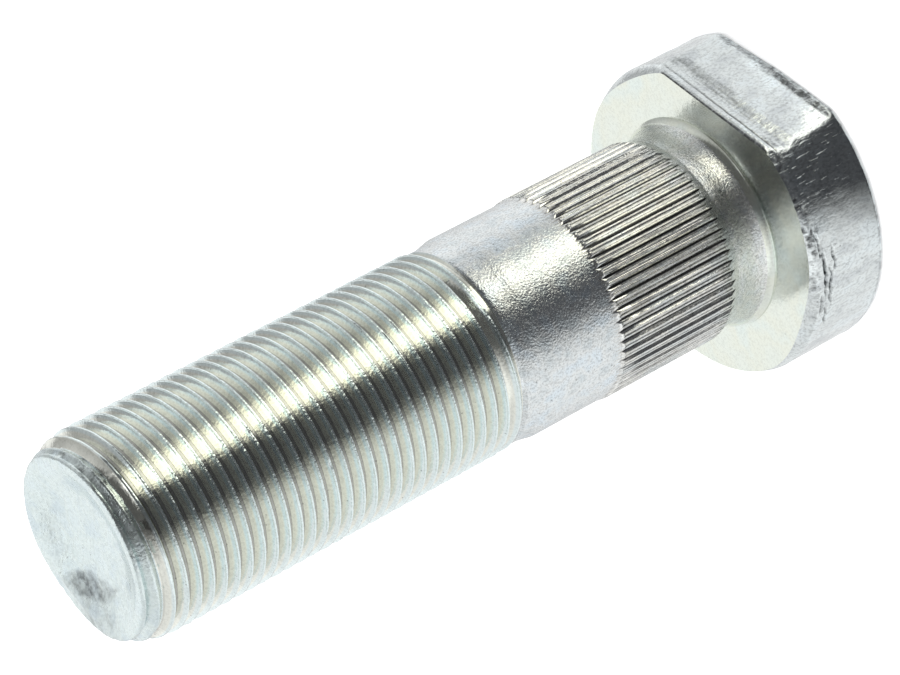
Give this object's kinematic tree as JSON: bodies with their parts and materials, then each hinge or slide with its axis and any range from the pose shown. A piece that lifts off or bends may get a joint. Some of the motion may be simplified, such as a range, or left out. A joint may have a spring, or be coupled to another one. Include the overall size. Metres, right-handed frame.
{
  "type": "wheel stud",
  "caption": "Press-in steel wheel stud with a long threaded end, plain shank, serrated collar and a round head with a flat side that keeps it from turning.",
  "frame": {"origin": "on the stud's axis, in the plane of the head's end face, which it stands on", "axes": "+Z along the axis from the head to the threaded end, +X out of the flat on the head"},
  "size_m": [0.0327, 0.0346, 0.088],
  "materials": {
    "zinc_steel": "bright zinc plating with a blue-white passivation"
  },
  "bodies": {
    "root": {"wheel_stud": "zinc_steel"}
  },
  "joints": []
}
